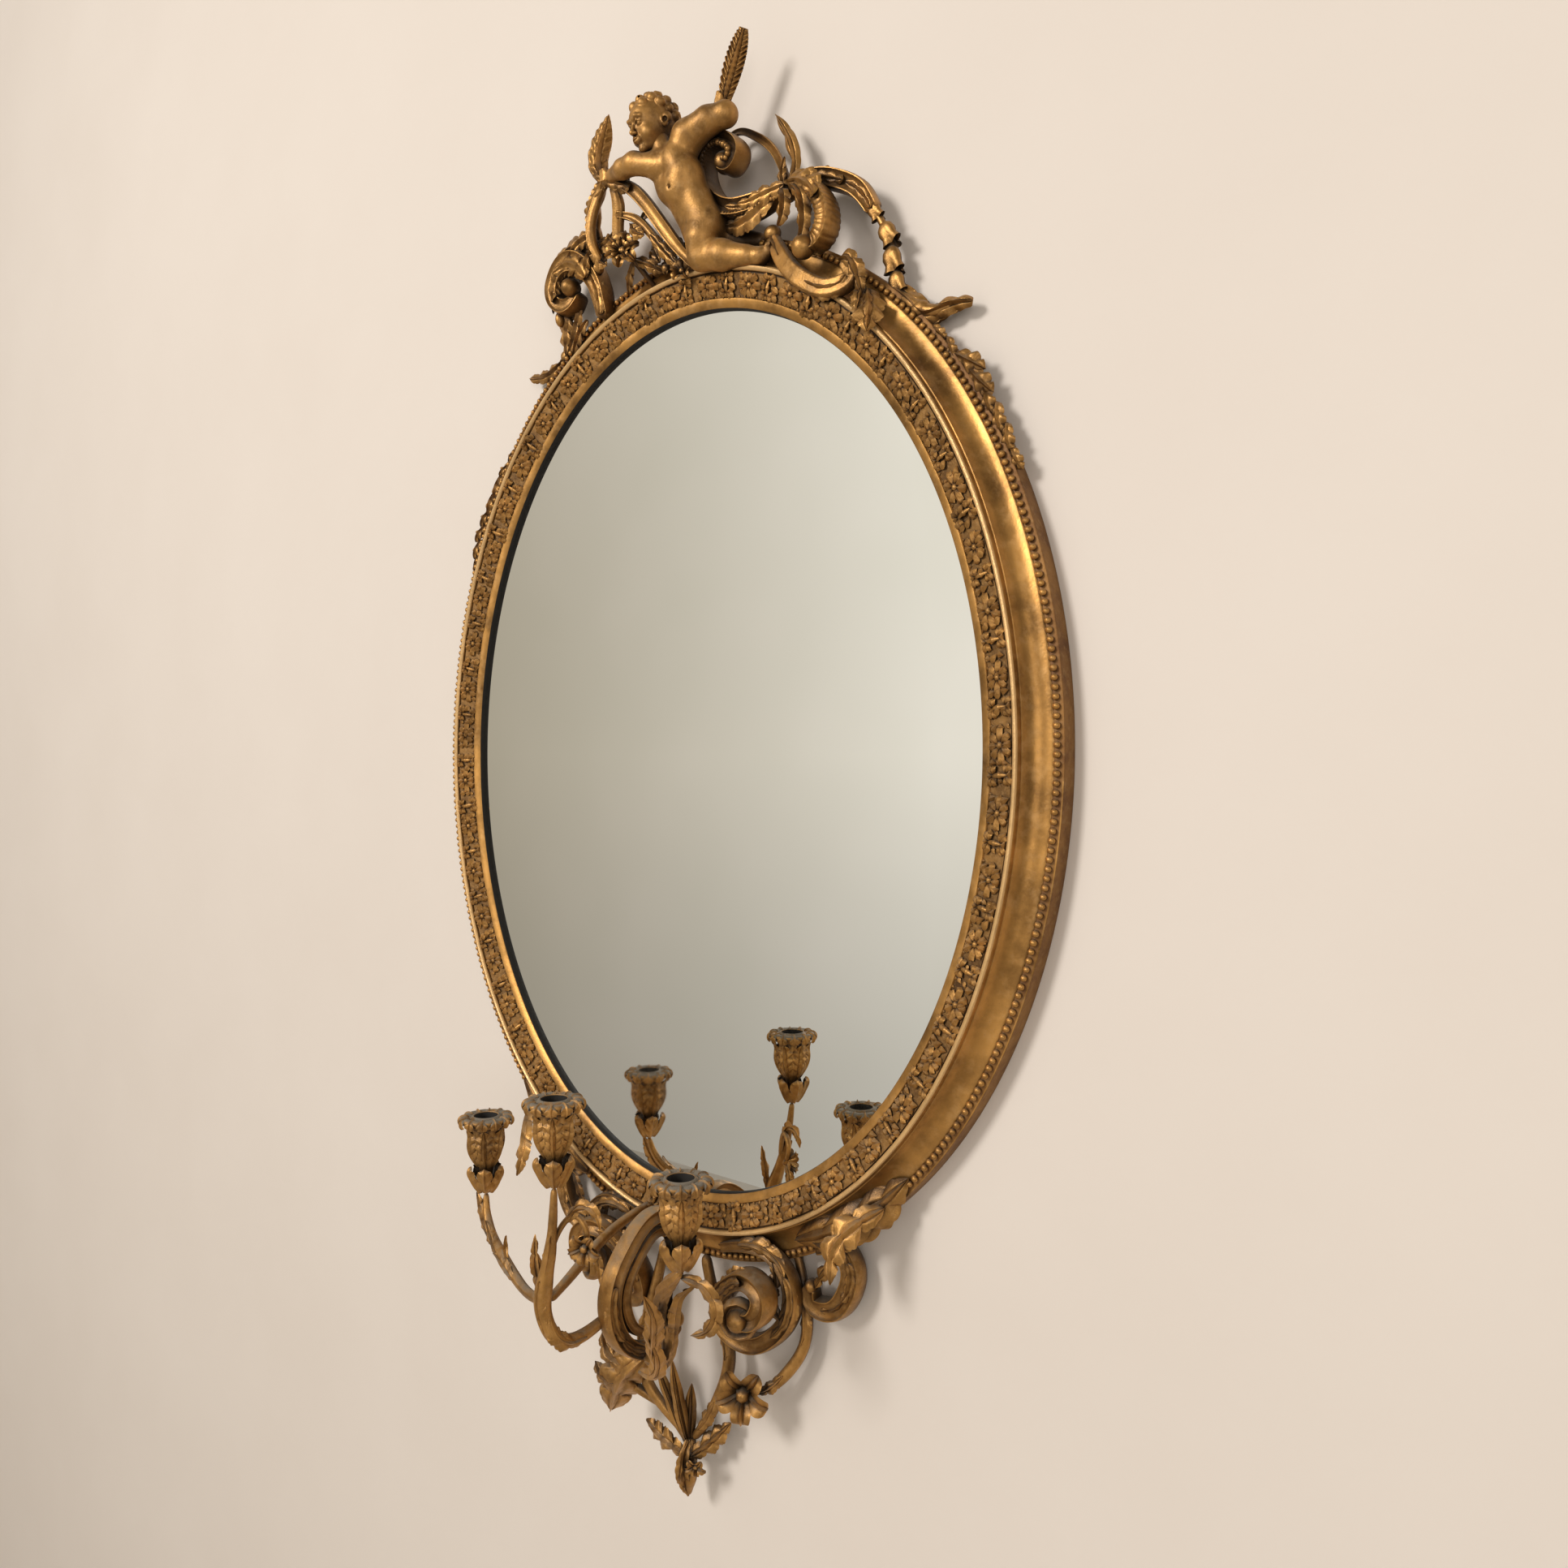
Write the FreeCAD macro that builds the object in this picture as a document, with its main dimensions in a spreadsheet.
"""An oval girandole mirror: a gilded wooden oval with a moulded front, a crest with a kneeling putto
among scrolls, an apron of volutes and leaves, and three candle arms that reach out into the room.

Millimetres.  X runs along the wall to the viewer's right, +Y goes into the wall, +Z is up.
The origin is the oval's centre, on the wall.  A depth is a distance in front of the wall.
"""
import FreeCAD, Part
import math
import os
from FreeCAD import Placement, Rotation, Vector

doc = FreeCAD.newDocument("girandole_mirror")

# --------------------------------------------------------------------------- driving dimensions
DIMENSIONS = [
    # the oval and its moulding, from the sight line outwards
    ("sight_half_height", 400, "centre to the visible edge of the glass, upright"),
    ("sight_half_width", 309, "centre to the visible edge of the glass, across"),
    ("sight_depth", 27, "front of the sight edge"),
    ("sight_edge_height", 5, "height of the black edge over the glass"),
    ("band_width", 31, "ornamented band from the sight edge to the fillet"),
    ("band_thickness", 3, "composition ornament laid on the band"),
    ("fillet_width", 3, "thin bright fillet between band and cove"),
    ("fillet_depth", 36, "front of the fillet, the highest line of the frame"),
    ("cove_width", 20, "hollow from the fillet to the bead"),
    ("cove_sag", 4, "how far the hollow dips under a straight slope"),
    ("bead_seat_depth", 18, "front of the ledge that carries the bead"),
    ("bead_width", 6, "row of beads"),
    ("edge_width", 2, "flat ledge outside the beads"),
    ("rebate_width", 8, "how far the glass goes under the sight edge"),
    # glass and back
    ("glass_thickness", 4, "silvered plate"),
    ("rebate_clearance", 0.3, "gap between the glass or backboard and the rebate"),
    ("backboard_thickness", 8, "softwood board behind the glass"),
    ("block_length", 34, "glued block that holds the backboard"),
    ("block_height", 6, "block, front to back"),
    ("block_width", 9, "block, towards the middle"),
    ("block_count", 8, "blocks round the rebate"),
    # hangers, let into the back of the frame
    ("hanger_rise", 180, "hanger eye above the middle of the oval"),
    ("hanger_pocket_depth", 7, "pocket cut into the back"),
    ("hanger_pocket_width", 27, "pocket, across"),
    ("hanger_pocket_height", 67, "pocket, upright"),
    ("hanger_plate_width", 13, "strap plate, across"),
    ("hanger_plate_length", 31, "strap plate, upright"),
    ("hanger_plate_thickness", 1.2, "strap plate"),
    ("hanger_wire", 2.4, "diameter of the ring's wire"),
    ("hanger_ring_width", 20, "ring, across its top bar"),
    ("hanger_ring_length", 24, "ring, from its top bar to its foot"),
    ("hanger_eye_wall", 0.9, "metal rolled round the ring's bar"),
    ("hanger_ring_gap", 0.4, "gap between the hanging ring and its strap"),
    ("hanger_eye_clearance", 0.08, "radial gap between the ring's bar and the eye"),
    ("screw_head", 5, "diameter of a screw head"),
    ("screw_head_height", 1, "how far a screw head stands up"),
    ("screw_shank", 2.4, "diameter of a screw under its head"),
    ("screw_length", 9, "screw under its head"),
    # candle cups and nozzles
    ("candle_bore", 22, "diameter of the hole that takes the candle"),
    ("candle_bore_length", 26, "depth of that hole"),
    ("nozzle_wall", 1.2, "metal of the nozzle"),
    ("nozzle_clearance", 0.08, "radial gap between nozzle and cup"),
    ("nozzle_foot_gap", 0.3, "gap under the nozzle"),
    ("pan_diameter", 50, "drip pan across its leaf tips"),
    ("pan_drop", 9, "height of the drip pan's leafy rim"),
    ("pan_seat_gap", 0.3, "gap between the pan and the cup's lip"),
    ("cup_diameter", 37, "candle cup at its widest"),
    ("cup_height", 40, "candle cup from lip to calyx"),
    ("calyx_diameter", 25, "leaf collar under the cup"),
    ("calyx_height", 26, "leaf collar, upright"),
    # carved and composition ornament
    ("arm_thickness", 10, "candle arm at its thickest"),
    ("bracket_width", 24, "central bracket scroll, across"),
    ("bracket_thickness", 15, "central bracket scroll, in its curve"),
    ("scroll_thickness", 13, "main scrolls of crest and apron"),
    ("shell_scroll_width", 26, "beaded C-scroll, wall to room"),
    ("tendril_thickness", 5, "thin stems"),
    ("husk_width", 13, "chains of bell-shaped husks"),
    ("leaf_width", 26, "broad acanthus leaves"),
    ("leaf_thickness", 6, "broad acanthus leaves at their rib"),
    ("flower_diameter", 34, "five-petalled flower"),
    ("head_height", 50, "putto, chin to crown"),
    ("limb_thickness", 22, "putto's upper arm and shin"),
]

sheet = doc.addObject("Spreadsheet::Sheet", "dimensions")
for row, (alias, value, note) in enumerate(DIMENSIONS, start=1):
    sheet.set(f"A{row}", alias)
    sheet.set(f"B{row}", str(value))
    sheet.set(f"C{row}", note)
    sheet.setAlias(f"B{row}", alias)
doc.recompute()


def size(alias):
    """A driving dimension, in millimetres."""
    return float(sheet.get(alias))


# --------------------------------------------------------------------------- the document's pieces
pieces = []          # sub-parts that are exported, in the order in which they are put together
ground = []          # the ones among them that ornament is laid against
ROOM = Vector(0, -1, 0)
QUARTER = Vector(0.6, -0.8, 0)      # half way round to the viewer's right
UP = Vector(0, 0, 1)
CRUMB = 0.03         # a chip smaller than this share of its piece falls off when the piece is fitted


def keep(obj, label):
    """Names a document object as a sub-part."""
    obj.Label = label
    pieces.append(obj)
    return obj


def seat_for_ornament(*objs):
    """Pieces that ornament is laid against."""
    ground.extend(objs)


def modelled(label, shape):
    """A sub-part whose shape is made by the functions below."""
    obj = doc.addObject("Part::Feature", label)
    obj.Shape = shape
    return keep(obj, label)


def joined(shapes):
    """One solid out of several that run into each other."""
    return shapes[0].multiFuse(shapes[1:]) if len(shapes) > 1 else shapes[0]


def bedded(shape):
    """Cuts a piece of ornament to lie against the frame's front and the ornament set before it."""
    for other in ground:
        if shape.BoundBox.intersect(other.Shape.BoundBox):
            shape = shape.cut(other.Shape)
    solids = sorted(shape.Solids, key=lambda solid: solid.Volume, reverse=True)
    solids = [solid for solid in solids if solid.Volume > CRUMB * solids[0].Volume]
    return solids[0] if len(solids) == 1 else Part.makeCompound(solids)


def ornament(label, *shapes):
    """A carved or composition piece, fitted to what it lies on."""
    seat_for_ornament(modelled(label, bedded(joined(list(shapes)))))


# --------------------------------------------------------------------------- the oval frame
# An ellipse's own long axis is stood upright and its plane is set parallel to the wall.
UPRIGHT = Placement(FreeCAD.Matrix(0, 1, 0, 0, 0, 0, 1, 0, 1, 0, 0, 0, 0, 0, 0, 1))
OUTER = "dimensions.band_width + dimensions.fillet_width + dimensions.cove_width" \
        " + dimensions.bead_width + dimensions.edge_width"


def oval(label, offset, depth):
    """An ellipse that lies `offset` outside the sight line and `depth` in front of the wall."""
    ellipse = doc.addObject("Part::Ellipse", label)
    ellipse.Placement = UPRIGHT
    ellipse.setExpression("MajorRadius", f"dimensions.sight_half_height + {offset}")
    ellipse.setExpression("MinorRadius", f"dimensions.sight_half_width + {offset}")
    ellipse.setExpression("Placement.Base.y", f"0 - ({depth})")
    return ellipse


def oval_body(label, lines):
    """A solid oval whose edge passes through the given (offset, depth) lines, back to front."""
    loft = doc.addObject("Part::Loft", label)
    loft.Sections = [oval(f"{label}_line_{k}", offset, depth) for k, (offset, depth) in enumerate(lines)]
    loft.Solid = True
    loft.Ruled = True
    return loft


def cut(label, base, *tools):
    result = doc.addObject("Part::Cut", label)
    result.Base = base
    if len(tools) == 1:
        result.Tool = tools[0]
    else:
        result.Tool = doc.addObject("Part::MultiFuse", f"{label}_tools")
        result.Tool.Shapes = list(tools)
    return result


def box(label, length, width, height, place=None):
    block = doc.addObject("Part::Box", label)
    for name, value in (("Length", length), ("Width", width), ("Height", height)):
        block.setExpression(name, value)
    if place:
        for axis, value in zip("xyz", place):
            block.setExpression(f"Placement.Base.{axis}", value)
    return block


def cylinder(label, radius, height, place, rotation=Rotation()):
    rod = doc.addObject("Part::Cylinder", label)
    rod.Placement = Placement(Vector(), rotation)
    rod.setExpression("Radius", radius)
    rod.setExpression("Height", height)
    for axis, value in zip("xyz", place):
        rod.setExpression(f"Placement.Base.{axis}", value)
    return rod


BAND = "dimensions.band_width"
FILLET = "(dimensions.band_width + dimensions.fillet_width)"
COVE = "(dimensions.band_width + dimensions.fillet_width + dimensions.cove_width)"
BEAD = "(dimensions.band_width + dimensions.fillet_width + dimensions.cove_width + dimensions.bead_width)"
RIM = f"({OUTER})"
FRONT = "dimensions.fillet_depth"
LEDGE = "dimensions.bead_seat_depth"
REBATE = "(dimensions.sight_depth - dimensions.sight_edge_height)"
# the hollow of the cove dips under the straight slope at the middle of its width
HOLLOW = (f"({FILLET} + dimensions.cove_width / 2)", f"(({FRONT} + {LEDGE}) / 2 - dimensions.cove_sag)")

frame_blank = oval_body("frame_blank", [
    (RIM, "0"),
    (RIM, LEDGE),
    (COVE, LEDGE),
    HOLLOW,
    (FILLET, FRONT),
])
sight_opening = oval_body("sight_opening", [
    ("0", "0"),
    ("0", f"(dimensions.sight_depth - dimensions.band_thickness / 2)"),
    (BAND, FRONT),
])
rebate = oval_body("rebate", [
    ("dimensions.rebate_width", "0"),
    ("dimensions.rebate_width", REBATE),
])

# The hangers sit in pockets at the middle of the frame's width, so their place across follows the oval.
HANGER_OFFSET = "((dimensions.rebate_width + " + OUTER + ") / 2)"
HANGER_X = f"((dimensions.sight_half_width + {HANGER_OFFSET})" \
           f" * sqrt(1 - (dimensions.hanger_rise / (dimensions.sight_half_height + {HANGER_OFFSET})) ^ 2))"
EYE_RADIUS = "(dimensions.hanger_wire / 2 + dimensions.hanger_eye_clearance)"
SIDES = {"left": "-1", "right": "1"}

pockets = []
for side, sign in SIDES.items():
    pockets.append(box(
        f"hanger_pocket_{side}",
        "dimensions.hanger_pocket_width", "dimensions.hanger_pocket_depth", "dimensions.hanger_pocket_height",
        (f"{sign} * {HANGER_X} - dimensions.hanger_pocket_width / 2",
         "0 - dimensions.hanger_pocket_depth",
         "dimensions.hanger_rise - dimensions.hanger_pocket_height / 2")))
carcass = keep(cut("carcass", frame_blank, sight_opening, rebate, *pockets), "frame_carcass")

# The ornamented band is a crowned strip on the slope between the sight edge and the fillet.
BAND_BACK = "(dimensions.sight_depth - dimensions.band_thickness / 2)"
BAND_CROWN = f"({FRONT} - ({FRONT} - dimensions.sight_depth) * 0.45 + dimensions.band_thickness)"
band_outside = oval_body("band_outside", [("0", BAND_BACK), (BAND, FRONT)])
band_inside = oval_body("band_inside", [
    ("0", BAND_BACK),
    ("0", "dimensions.sight_depth"),
    (f"({BAND} * 0.55)", BAND_CROWN),
    (BAND, FRONT),
])
band = keep(cut("band", band_outside, band_inside), "ornament_band")

# The row of beads, as the raised strip that the beads are pressed out of.
BEAD_CROWN = (f"({COVE} + dimensions.bead_width / 2)", f"({LEDGE} + dimensions.bead_width / 2)")
bead_outside = oval_body("bead_outside", [(BEAD, LEDGE), BEAD_CROWN])
bead_inside = oval_body("bead_inside", [(COVE, LEDGE), BEAD_CROWN])
beads = keep(cut("beads", bead_outside, bead_inside), "bead_moulding")
seat_for_ornament(carcass, band, beads)

# --------------------------------------------------------------------------- glass and back
PLATE_EDGE = "(dimensions.rebate_width - dimensions.rebate_clearance)"
GLASS_BACK = f"({REBATE} - dimensions.glass_thickness)"
BOARD_BACK = f"({GLASS_BACK} - dimensions.backboard_thickness)"
keep(oval_body("glass", [(PLATE_EDGE, GLASS_BACK), (PLATE_EDGE, REBATE)]), "mirror_glass")
keep(oval_body("board", [(PLATE_EDGE, BOARD_BACK), (PLATE_EDGE, GLASS_BACK)]), "backboard")


def oval_point(turn, offset, depth):
    """A point on an oval line, `turn` degrees round from the viewer's right towards the top."""
    across = (size("sight_half_width") + offset) * math.cos(math.radians(turn))
    upright = (size("sight_half_height") + offset) * math.sin(math.radians(turn))
    return Vector(across, -depth, upright)


def oval_normal(turn, offset):
    """The direction straight out of the oval, in its own plane."""
    across = math.cos(math.radians(turn)) / (size("sight_half_width") + offset)
    upright = math.sin(math.radians(turn)) / (size("sight_half_height") + offset)
    return Vector(across, 0, upright).normalize()


def retaining_block(turn, depth):
    """A glued block against the rebate's wall, its back edge `depth` in front of the wall."""
    length, width, height = size("block_length"), size("block_width"), size("block_height")
    outward = oval_normal(turn, size("rebate_width"))
    along = outward.cross(ROOM)
    middle = oval_point(turn, size("rebate_width") + width / 2, depth)
    corner = middle - along * (length / 2) - outward * (width * 1.5)
    block = Part.makePolygon([corner, corner + along * length,
                              corner + along * length + outward * width * 2,
                              corner + outward * width * 2, corner])
    return Part.Face(block).extrude(ROOM * height)


doc.recompute()
glass_front = size("sight_depth") - size("sight_edge_height")
board_back = glass_front - size("glass_thickness") - size("backboard_thickness")
block_turns = [360 / size("block_count") * (k + 0.5) for k in range(int(size("block_count")))]
blocks = [retaining_block(turn, board_back - size("block_height")) for turn in block_turns]
modelled("backboard_blocks", Part.makeCompound([block.common(rebate.Shape) for block in blocks]))

# --------------------------------------------------------------------------- solids out of rings
def facets(rings):
    """A closed solid through flat rings of equal point count, carved in flat facets."""
    count = len(rings[0])
    outlines = [rings[0], rings[-1]]
    for here, there in zip(rings, rings[1:]):
        for k in range(count):
            after = (k + 1) % count
            outlines += [(here[k], here[after], there[after]), (here[k], there[after], there[k])]
    sides = [Part.Face(Part.makePolygon([*outline, outline[0]])) for outline in outlines]
    solid = Part.Solid(Part.Shell(sides))
    if solid.Volume < 0:
        solid.reverse()
    return solid


def turned(start, axis, outline, sides=8):
    """A small turned piece in flat facets, from (distance along the axis, radius) pairs."""
    across = axis.cross(UP)
    rings = []
    for distance, radius in outline:
        angles = [2 * math.pi * k / sides for k in range(sides)]
        rings.append([start + axis * distance + across * (radius * math.cos(a)) + UP * (radius * math.sin(a))
                      for a in angles])
    return facets(rings)


# --------------------------------------------------------------------------- hangers
EYE_Z = "dimensions.hanger_rise"
EYE_DEPTH = "(dimensions.hanger_pocket_depth - dimensions.hanger_plate_thickness" \
            " - dimensions.hanger_wire / 2 - dimensions.hanger_ring_gap)"
ACROSS = Rotation(Vector(0, 1, 0), 90)
INTO_WALL = Rotation(Vector(1, 0, 0), -90)
FLOOR = "dimensions.hanger_pocket_depth"
screws = []

for side, sign in SIDES.items():
    middle = f"({sign} * {HANGER_X})"
    strap = box(
        f"hanger_strap_{side}",
        "dimensions.hanger_plate_width", "dimensions.hanger_plate_thickness",
        "dimensions.hanger_plate_length",
        (f"{middle} - dimensions.hanger_plate_width / 2", f"0 - {FLOOR}",
         f"{EYE_Z} - dimensions.hanger_plate_length"))
    eye = cylinder(
        f"hanger_eye_{side}", f"{EYE_RADIUS} + dimensions.hanger_eye_wall", "dimensions.hanger_plate_width",
        (f"{middle} - dimensions.hanger_plate_width / 2", f"0 - {EYE_DEPTH}", EYE_Z), ACROSS)
    eye_bore = cylinder(
        f"hanger_eye_bore_{side}", EYE_RADIUS, "dimensions.hanger_plate_width",
        (f"{middle} - dimensions.hanger_plate_width / 2", f"0 - {EYE_DEPTH}", EYE_Z), ACROSS)
    holes = [
        cylinder(f"hanger_hole_{side}_{k}", "dimensions.screw_shank / 2 + dimensions.rebate_clearance / 3",
                 "dimensions.hanger_plate_thickness",
                 (middle, f"0 - {FLOOR}", f"{EYE_Z} - dimensions.hanger_plate_length * {share}"), INTO_WALL)
        for k, share in enumerate((0.3, 0.58))]
    plate_blank = doc.addObject("Part::MultiFuse", f"hanger_plate_blank_{side}")
    plate_blank.Shapes = [strap, eye]
    keep(cut(f"plate_{side}", plate_blank, eye_bore, *holes), f"hanger_plate_{side}")

    # The ring is wire: a top bar in the eye, and two legs that meet at a foot bar.
    doc.recompute()
    bar_centre = eye_bore.Placement.Base + Vector(size("hanger_plate_width") / 2, 0, 0)
    wire, width, length = size("hanger_wire"), size("hanger_ring_width"), size("hanger_ring_length")
    bar = Part.makeCylinder(wire / 2, width, bar_centre - Vector(width / 2, 0, 0), Vector(1, 0, 0))
    corners = [bar_centre + Vector(x * width, 0, z * length)
               for x, z in ((-0.5, 0.0), (-0.22, -1.0), (0.22, -1.0), (0.5, 0.0))]
    sides = []
    for start, end in zip(corners, corners[1:]):
        section = Part.makePolygon([start + Vector(wire / 2 * math.cos(math.radians(a)),
                                                   wire / 2 * math.sin(math.radians(a)), 0)
                                    for a in range(0, 361, 60)])
        if abs(start.z - end.z) > wire:
            sides.append(Part.makeLoft([section, section.translated(end - start)], True, True))
        else:
            sides.append(Part.makeBox(end.x - start.x + wire, wire * 0.86, wire,
                                      start - Vector(wire / 2, wire * 0.43, wire / 2)))
    modelled(f"hanger_ring_{side}", joined([bar] + sides))

    for hole in holes:
        head = hole.Placement.Base + Vector(0, size("hanger_plate_thickness"), 0)
        screws.append(turned(head, ROOM, [
            (-size("screw_head_height"), size("screw_head") / 3), (0, size("screw_head") / 2),
            (0, size("screw_shank") / 2), (size("screw_length"), size("screw_shank") / 2)]))
modelled("hanger_screws", Part.makeCompound(screws))

# --------------------------------------------------------------------------- places on the frame
doc.recompute()
edge_offset = sum(size(name) for name in ("band_width", "fillet_width", "cove_width", "bead_width", "edge_width"))
outer_half_width = size("sight_half_width") + edge_offset
outer_half_height = size("sight_half_height") + edge_offset


def edge_height(across):
    """How far the frame's outer edge stands above the middle of the oval, at a place across it."""
    return outer_half_height * math.sqrt(1 - (across / outer_half_width) ** 2)


def crest(across, depth, rise):
    """A place over the frame: `rise` above its outer edge there."""
    return Vector(across, -depth, edge_height(across) + rise)


def apron(across, depth, drop):
    """A place under the frame: `drop` below its outer edge there."""
    return Vector(across, -depth, -edge_height(across) - drop)


def foot(across, depth, rise):
    """A place in front of the frame's foot: `rise` above the lowest point of the oval."""
    return Vector(across, -depth, rise - outer_half_height)


# --------------------------------------------------------------------------- carving
def along(values, share):
    """The value at a share of the way through an evenly spaced list, eased between its entries."""
    place = share * (len(values) - 1)
    k = min(int(place), len(values) - 2)
    ease = place - k
    ease = ease * ease * (3 - 2 * ease)
    return values[k] * (1 - ease) + values[k + 1] * ease


def smooth(route, stations):
    """Evenly spaced points and directions along the curve through the route's points."""
    curve = Part.BSplineCurve()
    curve.interpolate(route)
    points = curve.discretize(stations)
    directions = [curve.tangent(curve.parameter(point))[0] for point in points]
    return points, directions


def carved(route, widths, thicknesses, stations=9, corners=5, facing=ROOM, lobes=0.0, turn=0.0):
    """A stem, scroll, leaf or limb along a route.

    Width is measured across the face that looks towards `facing`, thickness square to that face.
    Both are lists spread along the route.  With `lobes`, every other station is drawn in by that share,
    which cuts the edge of a leaf or the waists of a chain of husks.
    """
    points, directions = smooth(route, stations)
    rings = []
    for k, (point, direction) in enumerate(zip(points, directions)):
        share = k / (stations - 1)
        front = (facing - direction * facing.dot(direction)).normalize()
        side = direction.cross(front)
        waist = 1 - lobes * (k % 2)
        width = along(widths, share) / 2 * waist
        thickness = along(thicknesses, share) / 2
        ring = []
        for corner in range(corners):
            angle = 2 * math.pi * (corner + turn) / corners
            ring.append(point + side * (width * math.cos(angle)) + front * (thickness * math.sin(angle)))
        rings.append(ring)
    return facets(rings)


def leaf(route, width, thickness, stations=8, facing=ROOM, lobes=0.3, base=0.35, tip=0.12):
    """An acanthus leaf with a raised rib and a lobed edge."""
    return carved(route, [width * base, width, width * 0.8, width * tip],
                  [thickness, thickness, thickness * 0.8, thickness * 0.3],
                  stations=stations, corners=4, facing=facing, lobes=lobes)


def flower(centre, diameter, facing, petals=5):
    """An open flower that faces a given way: pointed petals, lifted at their tips, round a domed middle."""
    facing = Vector(facing).normalize()
    side = facing.cross(UP).normalize()
    upright = side.cross(facing)
    rings = []
    for lift, reach, gap in ((-0.16, 0.14, 0), (0.04, 0.5, 0.42), (0.05, 0.2, 0), (0.2, 0.1, 0)):
        ring = []
        for k in range(petals * 2):
            angle = math.pi * (k + 0.25) / petals
            radius = diameter * reach * (1 - gap * (k % 2))
            ring.append(centre + facing * (diameter * lift)
                        + side * (radius * math.cos(angle)) + upright * (radius * math.sin(angle)))
        rings.append(ring)
    return facets(rings)


# --------------------------------------------------------------------------- the central bracket
bracket_width, bracket_thickness = size("bracket_width"), size("bracket_thickness")
bracket_route = [foot(-4, 34, 36), foot(-5, 66, 46), foot(-5, 98, 26), foot(-5, 117, -6),
                 foot(-5, 112, -40), foot(-4, 90, -64), foot(-3, 62, -70), foot(-2, 36, -58)]
ACROSS_WALL = Vector(1, 0, 0)
ornament("bracket_scroll", carved(
    bracket_route,
    [bracket_thickness * share for share in (0.8, 1, 1, 1, 1.1, 1, 0.9)],
    [bracket_width * share for share in (0.8, 0.9, 1, 1.15, 1.2, 1.1, 0.8)],
    stations=11, corners=6, facing=ACROSS_WALL))

# --------------------------------------------------------------------------- candle cups and nozzles
CUPS = {"left": foot(-163, 128, 122), "centre": foot(-3, 178, 177), "right": foot(108, 144, 127)}
PAN_LEAVES = 8


def lobed_ring(centre, radius, rise, count, depth):
    """A ring of points about an upright axis, drawn in between its leaf tips."""
    ring = []
    for k in range(count * 2):
        angle = math.pi * k / count
        reach = radius * (1 - depth * (k % 2))
        ring.append(centre + Vector(reach * math.cos(angle), reach * math.sin(angle), rise))
    return ring


def candle_cup(top):
    """A tulip of six leaves with a flared collar of leaves under it, bored for its nozzle."""
    cup, calyx = size("cup_diameter") / 2, size("calyx_diameter") / 2
    lip = -size("pan_drop") - size("pan_seat_gap")
    bottom = lip - size("cup_height")
    outline = [(0.86, lip, 0.04), (1, lip - size("cup_height") * 0.35, 0.1),
               (0.93, lip - size("cup_height") * 0.65, 0.12), (0.42, bottom, 0.1)]
    rings = [lobed_ring(top, cup * share, rise, 6, depth) for share, rise, depth in outline]
    collar = [(0.5, bottom - 1, 0.1), (1, bottom - size("calyx_height") * 0.35, 0.3),
              (0.8, bottom - size("calyx_height") * 0.5, 0.2), (0.35, bottom - size("calyx_height"), 0.1)]
    rings += [lobed_ring(top, calyx * share, rise, 6, depth) for share, rise, depth in collar]
    socket = size("candle_bore") / 2 + size("nozzle_wall") + size("nozzle_clearance")
    depth = size("candle_bore_length") + size("nozzle_wall") + size("nozzle_foot_gap") + lip
    return facets(rings).cut(Part.makeCylinder(socket, depth, top + Vector(0, 0, lip - depth)))


def nozzle(top):
    """A metal socket with a leafy drip pan, which lifts out of its cup."""
    bore, length = size("candle_bore") / 2, size("candle_bore_length")
    tube, foot_depth = bore + size("nozzle_wall"), length + size("nozzle_wall")
    pan, drop = size("pan_diameter") / 2, size("pan_drop")
    outline = [(tube, -foot_depth, 0), (tube, -drop * 0.8, 0), (pan * 0.78, -drop, 0),
               (pan, -drop * 0.6, 0.12), (pan * 0.92, 0, 0.06)]
    rings = [lobed_ring(top, radius, rise, PAN_LEAVES, depth) for radius, rise, depth in outline]
    return facets(rings).cut(Part.makeCylinder(bore, length, top - UP * length))


for name, top in CUPS.items():
    seat_for_ornament(modelled(f"cup_{name}", candle_cup(top)))
    modelled(f"nozzle_{name}", nozzle(top))

# --------------------------------------------------------------------------- candle arms
arm, tendril = size("arm_thickness"), size("tendril_thickness")
cup_foot = -(size("pan_drop") + size("pan_seat_gap") + size("cup_height") + size("calyx_height"))


def under(cup):
    """Where a cup stands on its arm."""
    return CUPS[cup] + UP * (cup_foot + 2)


ornament("arm_trunk",
         carved([foot(-9, 112, -26), foot(-17, 140, -38), foot(-19, 162, -32), foot(-27, 170, -8),
                 foot(-24, 172, 12), foot(-12, 175, 48), under("centre")],
                [arm * share for share in (0.9, 1.1, 1.3, 1.5, 1.1, 0.75, 0.55)],
                [arm * share for share in (0.9, 1.1, 1.3, 1.5, 1.1, 0.75, 0.55)],
                stations=12, facing=ACROSS_WALL),
         leaf([foot(-27, 170, 2), foot(-34, 172, 30), foot(-38, 170, 54)], arm * 1.2, arm * 0.4,
              facing=ACROSS_WALL))
ornament("arm_left",
         carved([foot(-30, 167, -2), foot(-66, 158, -6), foot(-100, 149, 1), foot(-140, 137, 14),
                 foot(-158, 131, 32), under("left")],
                [arm * share for share in (0.8, 0.9, 1.0, 1.25, 0.9, 0.55)],
                [arm * share for share in (0.8, 0.8, 0.9, 1.0, 0.8, 0.55)], stations=10),
         leaf([foot(-140, 137, 10), foot(-160, 133, 24), foot(-174, 130, 46)], arm * 1.6, arm * 0.5))
ornament("arm_right",
         carved([foot(6, 84, -70), foot(30, 90, -64), foot(52, 102, -30), foot(64, 120, 10), foot(88, 136, 36),
                 under("right")],
                [arm * share for share in (1.0, 1.8, 2.2, 2.0, 1.4, 0.7)],
                [arm * share for share in (0.9, 1.2, 1.4, 1.4, 1.1, 0.7)], stations=10))
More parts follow.
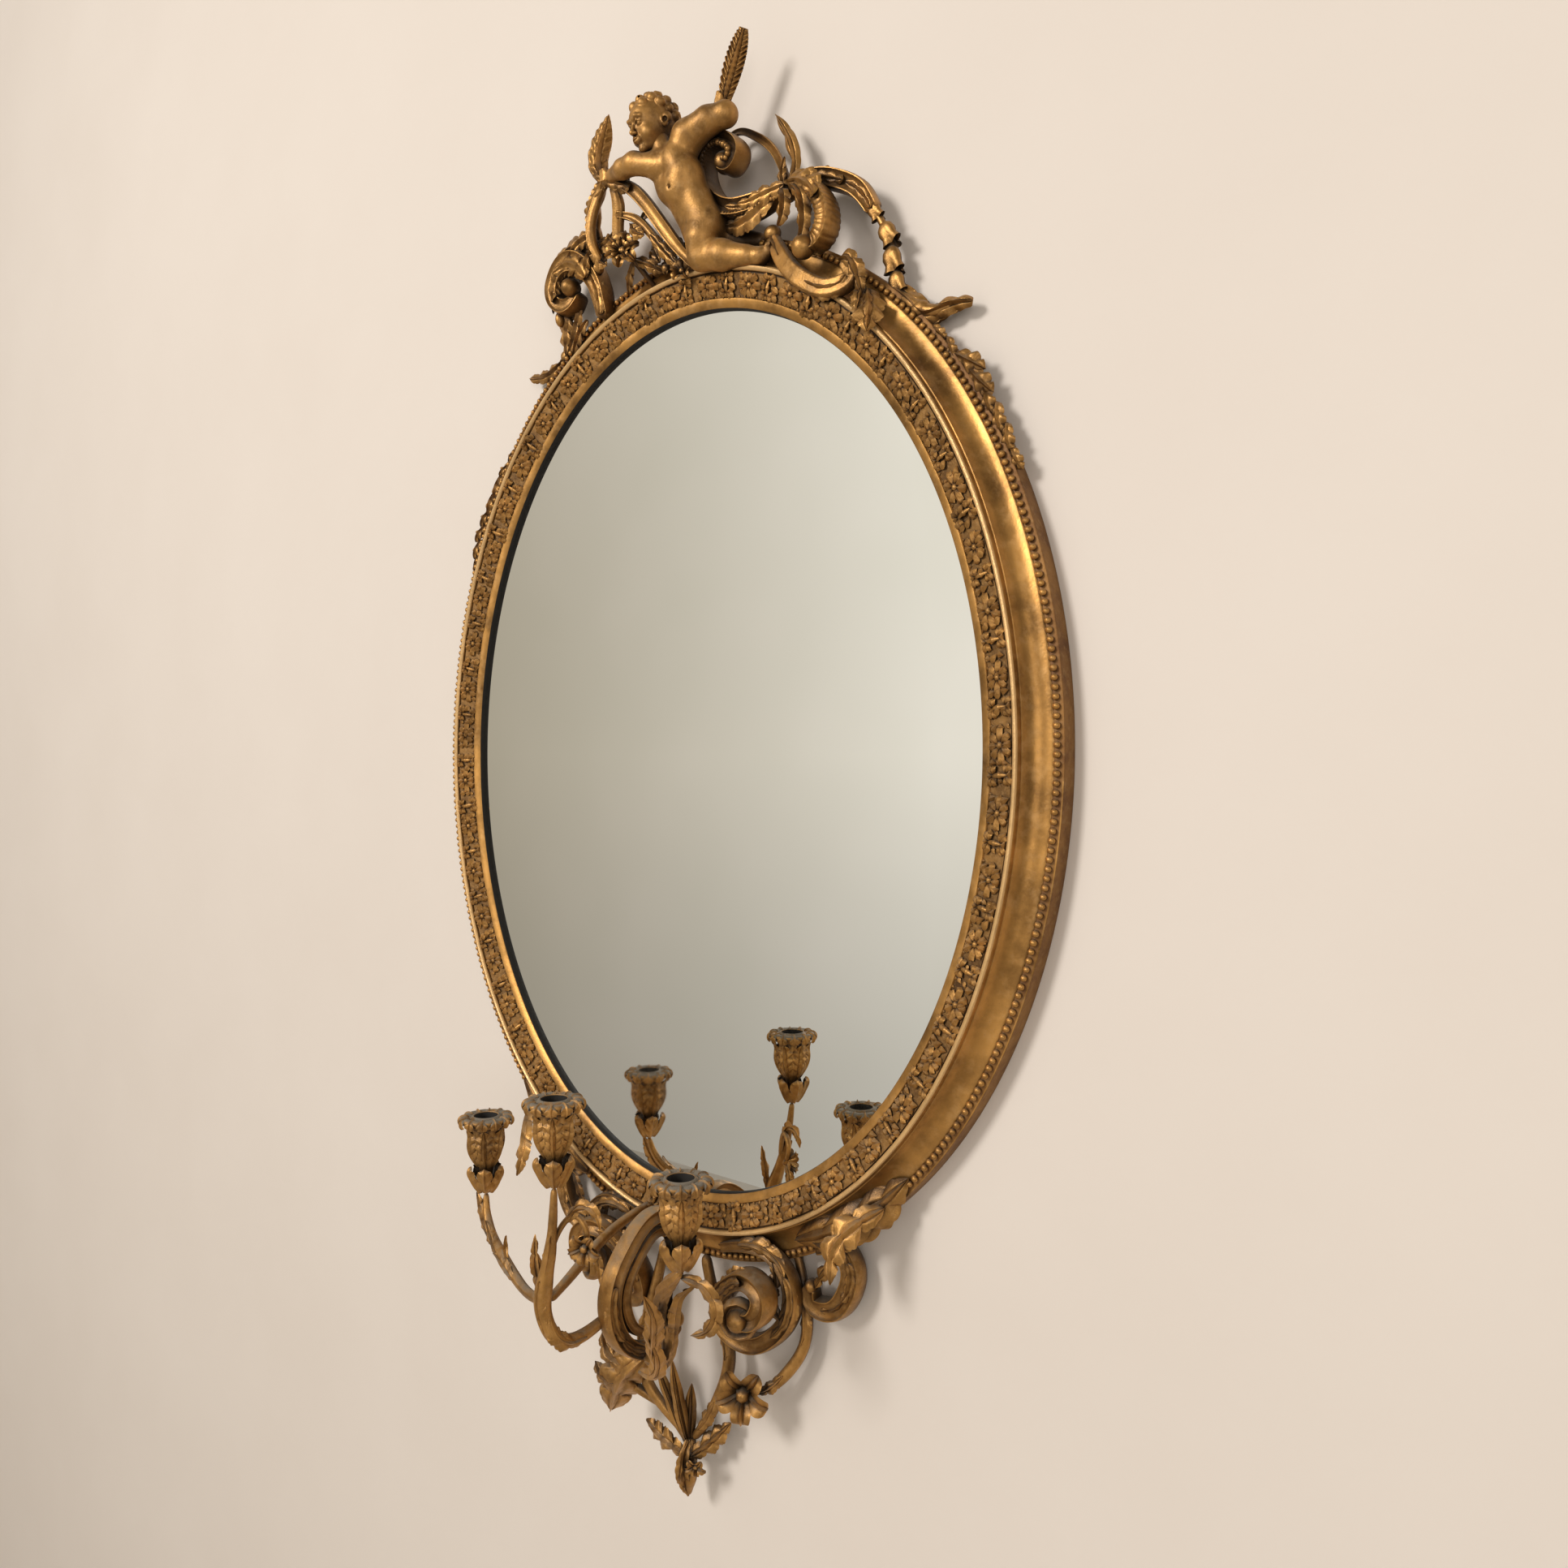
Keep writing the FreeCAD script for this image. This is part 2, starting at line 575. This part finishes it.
ornament("arm_stay",
         carved([foot(-26, 164, 0), foot(-40, 128, 5), foot(-47, 90, 19), foot(-44, 44, 35), foot(-42, 30, 38)],
                [tendril * 1.7, tendril * 2, tendril * 2, tendril * 1.5],
                [tendril * 1.4, tendril * 1.7, tendril * 1.4],
                stations=8, facing=ACROSS_WALL))
ornament("arm_tendril",
         carved([foot(-15, 174, 34), foot(-8, 167, 66), foot(2, 160, 76), foot(10, 156, 66), foot(8, 154, 50)],
                [tendril * 0.8, tendril, tendril, tendril], [tendril * 0.8, tendril, tendril], stations=8),
         flower(foot(8, 154, 50), size("flower_diameter") * 0.8, Vector(0.4, -1, -0.2)))

# --------------------------------------------------------------------------- the putto
limb, head = size("limb_thickness"), size("head_height")
ornament("putto_torso", carved(
    [crest(41, 42, 0), crest(33, 47, 21), crest(23, 55, 44), crest(14, 60, 62), crest(8, 64, 76)],
    [limb * 1.5, limb * 1.6, limb * 1.9, limb * 1.9, limb * 0.7],
    [limb * 1.3, limb * 1.4, limb * 1.6, limb * 1.3, limb * 0.7], stations=8, corners=8))
ornament("putto_head", carved(
    [crest(9, 70, 69), crest(4, 68, 94), crest(2, 65, 69 + head)],
    [head * 0.34, head * 0.78, head * 0.92, head * 0.9, head * 0.3],
    [head * 0.5, head * 0.86, head * 0.95, head * 0.9, head * 0.3], stations=8, corners=8))
ornament("putto_right_arm", carved(
    [crest(18, 58, 52), crest(36, 58, 77), crest(60, 55, 90), crest(77, 49, 97), crest(63, 42, 107)],
    [limb * 1.2, limb * 1.3, limb * 1.2, limb * 1.05, limb * 0.7],
    [limb * 1.1, limb * 1.25, limb * 1.15, limb, limb * 0.7], stations=8, corners=7))
ornament("putto_left_arm", carved(
    [crest(16, 66, 53), crest(-12, 74, 63), crest(-42, 69, 70), crest(-60, 65, 76)],
    [limb, limb * 0.95, limb * 0.65, limb * 0.85],
    [limb * 0.9, limb * 0.9, limb * 0.6, limb * 0.65], stations=8, corners=7))
ornament("putto_legs",
         carved([crest(42, 44, 10), crest(44, 48, -8), crest(40, 46, -24)],
                [limb * 1.25, limb * 1.2, limb], [limb * 1.25, limb * 1.2, limb],
                stations=5, corners=7),
         carved([crest(36, 44, -22), crest(62, 40, -23), crest(88, 36, -22), crest(104, 32, -20)],
                [limb, limb * 1.15, limb * 0.85, limb * 0.6],
                [limb, limb * 1.05, limb * 0.8, limb * 0.6], stations=6, corners=7),
         carved([crest(44, 34, 6), crest(60, 22, -3), crest(80, 16, -2)],
                [limb * 0.8, limb, limb * 0.6], [limb * 0.8, limb, limb * 0.6], stations=4))
leaf_width, leaf_thickness = size("leaf_width"), size("leaf_thickness")
ornament("palm_leaf", leaf(
    [crest(-58, 64, 70), crest(-72, 64, 98), crest(-67, 64, 116), crest(-58, 64, 133)],
    leaf_width * 0.95, leaf_thickness, stations=10, facing=QUARTER, lobes=0.18, base=0.3))
ornament("feather_leaf", leaf(
    [crest(62, 42, 104), crest(74, 43, 132), crest(89, 44, 169)],
    leaf_width * 0.7, leaf_thickness, stations=10, facing=QUARTER, lobes=0.12, base=0.5, tip=0.3))

# --------------------------------------------------------------------------- crest
scroll, husk = size("scroll_thickness"), size("husk_width")
shell = size("shell_scroll_width")
ornament("crest_left_volute", carved(
    [crest(-110, 22, -14), crest(-112, 26, 14), crest(-126, 30, 44), crest(-151, 30, 70), crest(-173, 29, 73),
     crest(-173, 28, 52), crest(-153, 28, 30), crest(-138, 28, 28)],
    [scroll * 1.2, scroll * 1.2, scroll * 1.3, scroll * 1.4, scroll * 1.3, scroll, scroll * 0.8],
    [scroll * 0.9, scroll * 1.2, scroll * 1.6, scroll * 1.8, scroll * 1.7, scroll * 1.4, scroll],
    stations=13))
ornament("crest_garland", carved(
    [crest(-60, 64, 75), crest(-76, 60, 72), crest(-91, 54, 62), crest(-98, 46, 50), crest(-110, 31, 33)],
    [husk, husk * 1.6, husk * 1.9, husk * 1.9, husk * 1.3], [husk * 0.8, husk * 1.4, husk * 1.4, husk],
    stations=10, lobes=0.25))
ornament("crest_sash",
         carved([crest(-60, 63, 72), crest(-38, 61, 59), crest(-15, 57, 34), crest(3, 53, 8), crest(16, 47, -11),
                 crest(30, 41, -27)],
                [tendril * 1.4, tendril * 1.8, tendril * 1.8, tendril * 1.4],
                [tendril, tendril * 0.8, tendril], stations=9),
         carved([crest(-56, 61, 68), crest(-54, 56, 50), crest(-61, 49, 28), crest(-55, 43, 12)],
                [tendril, tendril * 1.6, tendril * 1.5, tendril], [tendril, tendril], stations=6, corners=4))
ornament("crest_flowers",
         flower(crest(-52, 43, 9), size("flower_diameter") * 0.9, Vector(0.5, -1, 0)),
         carved([crest(-45, 18, -16), crest(-47, 29, -7), crest(-52, 41, 8)],
                [tendril, tendril], [tendril, tendril], stations=4),
         flower(crest(12, 38, -29), size("flower_diameter") * 0.62, Vector(0.4, -1, 0.3)),
         flower(crest(-16, 23, -11), size("flower_diameter") * 0.5, Vector(0.1, -1, 0.3)))
ornament("crest_shell_scroll", carved(
    [crest(130, 28, 39), crest(106, 30, 27), crest(78, 31, 18), crest(50, 31, 27), crest(35, 31, 48),
     crest(34, 31, 69), crest(49, 33, 80), crest(67, 34, 78), crest(77, 34, 66), crest(70, 34, 56),
     crest(58, 34, 60)],
    [scroll * 0.8, scroll * 0.9, scroll * 0.9, scroll * 0.9, scroll * 0.9],
    [shell * 0.6, shell, shell, shell, shell * 0.8], stations=15))
ornament("crest_tendril", carved(
    [crest(43, 22, 84), crest(56, 16, 96), crest(77, 18, 91), crest(99, 20, 79), crest(113, 22, 63),
     crest(123, 24, 43)],
    [tendril * 0.9, tendril * 1.4, tendril * 1.3], [tendril * 0.7, tendril, tendril], stations=9))
ornament("crest_spike_leaf", leaf(
    [crest(125, 25, 38), crest(130, 24, 63), crest(124, 24, 85), crest(109, 24, 104)],
    leaf_width * 0.5, leaf_thickness * 0.8, stations=7, lobes=0.15, base=0.6))
ornament("crest_cascade", carved(
    [crest(126, 28, 35), crest(156, 28, 54), crest(178, 26, 60), crest(197, 23, 61), crest(209, 20, 51),
     crest(218, 17, 40), crest(222, 14, 22), crest(228, 10, -1)],
    [husk * 0.8, husk, husk, husk * 1.1, husk * 1.1, husk * 0.9], [husk * 0.7, husk * 0.9, husk * 0.9, husk * 0.8],
    stations=15, lobes=0.25))
ornament("crest_curled_leaf", carved(
    [crest(134, 28, 41), crest(160, 34, 41), crest(181, 39, 37), crest(190, 40, 26), crest(188, 40, 12),
     crest(176, 38, -2), crest(164, 37, -7)],
    [scroll * 0.7, scroll * 0.9, scroll, scroll, scroll * 1.3],
    [shell * 0.5, shell * 0.9, shell, shell * 0.9, shell * 0.7], stations=9))
ornament("crest_lower_scroll", carved(
    [crest(106, 26, 0), crest(120, 32, -16), crest(138, 38, -30), crest(160, 40, -36), crest(182, 39, -30),
     crest(197, 37, -14), crest(190, 36, -2)],
    [scroll * 0.8, scroll * 1.1, scroll * 1.1, scroll * 1.1, scroll * 0.9],
    [scroll * 0.7, scroll * 0.9, scroll * 0.9, scroll * 0.9, scroll * 0.8], stations=10))
ornament("crest_drop_leaf", leaf(
    [crest(202, 22, -16), crest(216, 37, -28), crest(217, 42, -44)],
    leaf_width, leaf_thickness * 1.3, stations=6, facing=QUARTER))
ornament("crest_spur_right", carved(
    [crest(222, 11, 1), crest(241, 13, 2), crest(255, 14, 5), crest(272, 14, 28), crest(293, 13, 58)],
    [husk * 0.8, husk, husk, husk * 1.1, husk * 0.4], [husk * 0.7, husk * 0.8, husk * 0.7, husk * 0.3],
    stations=8, lobes=0.1))
ornament("crest_left_leaves",
         leaf([crest(-156, 26, 36), crest(-166, 23, 20), crest(-172, 18, -4)], leaf_width * 0.8, leaf_thickness),
         leaf([crest(-144, 24, 22), crest(-154, 21, 8), crest(-170, 18, -5)], leaf_width * 0.6, leaf_thickness))
ornament("crest_spur_left", carved(
    [crest(-176, 13, 2), crest(-192, 14, 5), crest(-210, 14, 16), crest(-238, 13, 46)],
    [husk * 0.8, husk, husk, husk * 0.5], [husk * 0.7, husk * 0.7, husk * 0.6, husk * 0.4],
    stations=7))
LEAF_RUN = {"right": (45, 28), "left": (135, 152)}      # turns round the oval, from its top end to its foot
for side, (first, last) in LEAF_RUN.items():
    route = [oval_point(first + (last - first) * share, edge_offset + proud, 11)
             for share, proud in ((0, 1), (0.3, 5), (0.6, 6), (0.85, 8), (1, 3))]
    ornament(f"edge_leaves_{side}", carved(
        route, [husk * 0.5, husk * 1.2, husk * 1.2, husk * 1.3, husk * 0.5],
        [leaf_thickness, leaf_thickness * 1.6, leaf_thickness], stations=11, corners=4, lobes=0.45))

# --------------------------------------------------------------------------- apron
for side, mirror in (("right", 1), ("left", -1)):
    ornament(f"apron_volute_{side}", carved(
        [apron(38 * mirror, 20, -12), apron(67 * mirror, 26, -18), apron(100 * mirror, 28, -12),
         apron(122 * mirror, 27, 12), apron(124 * mirror, 25, 42), apron(102 * mirror, 24, 64),
         apron(72 * mirror, 24, 68), apron(52 * mirror, 28, 54), apron(52 * mirror, 34, 30),
         apron(72 * mirror, 40, 10), apron(100 * mirror, 46, 8), apron(115 * mirror, 50, 24),
         apron(108 * mirror, 54, 37), apron(95 * mirror, 56, 33)],
        [scroll * 0.5, scroll * 0.7, scroll * 0.9, scroll, scroll, scroll * 1.1, scroll * 1.2],
        [scroll * 0.6, scroll * 0.9, scroll, scroll * 1.2, scroll * 1.4, scroll * 1.6, scroll * 1.6],
        stations=18))
    ornament(f"apron_leaf_{side}",
             leaf([apron(132 * mirror, 28, -18), apron(170 * mirror, 30, -14), apron(206 * mirror, 26, -10),
                   apron(240 * mirror, 22, -12)],
                  leaf_width * 1.3, leaf_thickness * 1.6, stations=9),
             leaf([foot(222 * mirror, 28, 96), foot(206 * mirror, 46, 84), foot(194 * mirror, 62, 62),
                   foot(196 * mirror, 66, 40)],
                  leaf_width, leaf_thickness, stations=6))
    ornament(f"apron_scroll_{side}", carved(
        [apron(146 * mirror, 20, -6), apron(170 * mirror, 18, 3), apron(181 * mirror, 15, 24),
         apron(177 * mirror, 14, 46), apron(158 * mirror, 14, 53), apron(140 * mirror, 15, 41),
         apron(139 * mirror, 16, 26)],
        [scroll, scroll * 1.2, scroll * 1.1, scroll, scroll * 0.8], [scroll * 0.8, scroll * 0.9, scroll, scroll * 0.8],
        stations=10))
    ornament(f"apron_stem_{side}", carved(
        [foot(120 * mirror, 14, 32), foot(130 * mirror, 14, -8), foot(131 * mirror, 16, -44),
         foot(114 * mirror, 20, -75), foot(94 * mirror, 26, -94), foot(76 * mirror, 28, -100)],
        [tendril * 1.6, tendril * 2, tendril * 2, tendril], [tendril * 1.6, tendril * 2, tendril * 1.6, tendril],
        stations=9))
ornament("apron_flower", flower(foot(77, 33, -98), size("flower_diameter") * 1.45, Vector(0.5, -1, 0)))
ornament("apron_centre_stem", carved(
    [foot(20, 22, 4), foot(34, 21, -42), foot(49, 22, -78), foot(41, 24, -114), foot(24, 25, -146),
     foot(5, 22, -170)],
    [tendril * 2, tendril * 2.4, tendril * 2.2, tendril * 1.6], [tendril * 2, tendril * 2.4, tendril * 1.6],
    stations=9))
ornament("apron_left_stem", carved(
    [foot(-30, 22, 6), foot(-40, 34, -60), foot(-44, 38, -120), foot(-24, 30, -150), foot(0, 22, -172)],
    [tendril * 1.8, tendril * 2.4, tendril * 2.2, tendril * 1.6], [tendril * 1.8, tendril * 2.4, tendril * 1.6],
    stations=9))
ornament("apron_left_leaf",
         carved([foot(-14, 26, -152), foot(-38, 33, -143), foot(-58, 48, -127)],
                [tendril * 1.4, tendril * 1.8], [tendril * 1.4, tendril * 1.8], stations=4),
         leaf([foot(-24, 56, -86), foot(-54, 52, -121), foot(-84, 44, -165)],
              leaf_width * 2.1, leaf_thickness * 1.4, stations=9, facing=QUARTER, base=0.6, tip=0.3))
ornament("pendant_bud", carved(
    [foot(2, 22, -170), foot(2, 24, -190), foot(0, 24, -208), foot(-2, 22, -224)],
    [tendril * 1.6, tendril * 2.6, tendril * 3.2, tendril * 1.8],
    [tendril * 1.6, tendril * 2.6, tendril * 3, tendril * 1.8], stations=7))
REED_TIPS = ((-24, 42, -100), (-2, 44, -90), (8, 28, -116))
reeds = [leaf([foot(0, 24, -178), foot(tip[0] * 0.5, (24 + tip[1]) / 2, -142), foot(*tip)],
              leaf_width * 0.45, leaf_thickness, stations=5, facing=QUARTER, lobes=0, base=0.5)
         for tip in REED_TIPS]
ornament("pendant_leaves",
         leaf([foot(2, 26, -184), foot(-22, 32, -176), foot(-47, 32, -166)], leaf_width * 0.8, leaf_thickness),
         leaf([foot(4, 26, -186), foot(24, 22, -168), foot(46, 16, -144)], leaf_width * 0.6, leaf_thickness),
         flower(foot(12, 26, -190), size("flower_diameter") * 0.5, Vector(0.6, -1, -0.4)),
         *reeds)

# --------------------------------------------------------------------------- check and write
doc.recompute()
for obj in doc.Objects:
    if "Invalid" in obj.State or "Error" in obj.State:
        raise RuntimeError(f"{obj.Label} did not build: {obj.State}")
for piece in pieces:
    if piece.Shape.isNull() or not piece.Shape.isValid():
        raise RuntimeError(f"{piece.Label} is not a sound solid")

os.makedirs("parts", exist_ok=True)
for piece in pieces:
    piece.Shape.exportStep(f"parts/{piece.Label}.step")
print(len(pieces), "sub-parts written")
